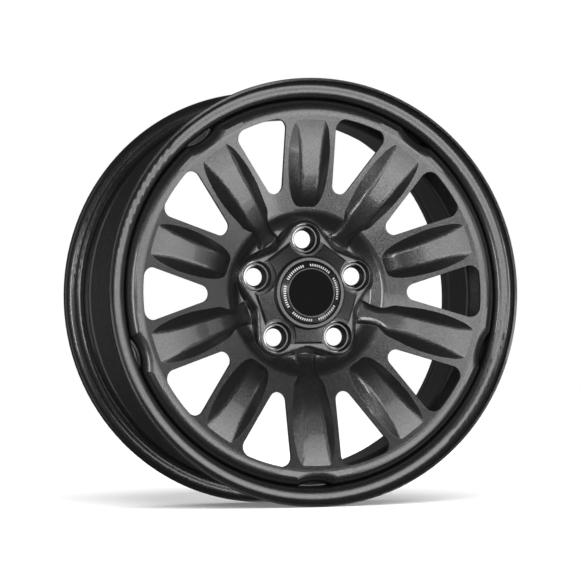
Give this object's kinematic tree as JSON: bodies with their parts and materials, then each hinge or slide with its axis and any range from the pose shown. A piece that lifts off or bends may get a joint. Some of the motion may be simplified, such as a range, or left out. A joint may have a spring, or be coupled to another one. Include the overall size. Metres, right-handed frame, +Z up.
{
  "type": "wheel rim",
  "caption": "Steel car wheel rim with a welded, pressed spoke disc, round-cornered openings, a bolt circle, a centre bore and a snap-in nave cap.",
  "frame": {"origin": "centre of the wheel: on the axle, in the rim's middle plane", "axes": "+Y along the axle towards the vehicle, +Z up, outer face towards -Y"},
  "size_m": [0.4401, 0.1912, 0.4402],
  "materials": {
    "wheel_paint": "satin dark grey metallic paint",
    "cap_plastic": "painted to match the wheel",
    "spring_wire": "bare drawn wire",
    "insert_plastic": "satin dark grey",
    "badge_black": "smooth black"
  },
  "bodies": {
    "root": {"rim": "wheel_paint", "wheel_disc": "wheel_paint", "disc_welds": "wheel_paint", "nave_cap": "cap_plastic", "cap_spring": "spring_wire", "badge_insert": "insert_plastic", "badge_disc": "badge_black"}
  },
  "joints": []
}
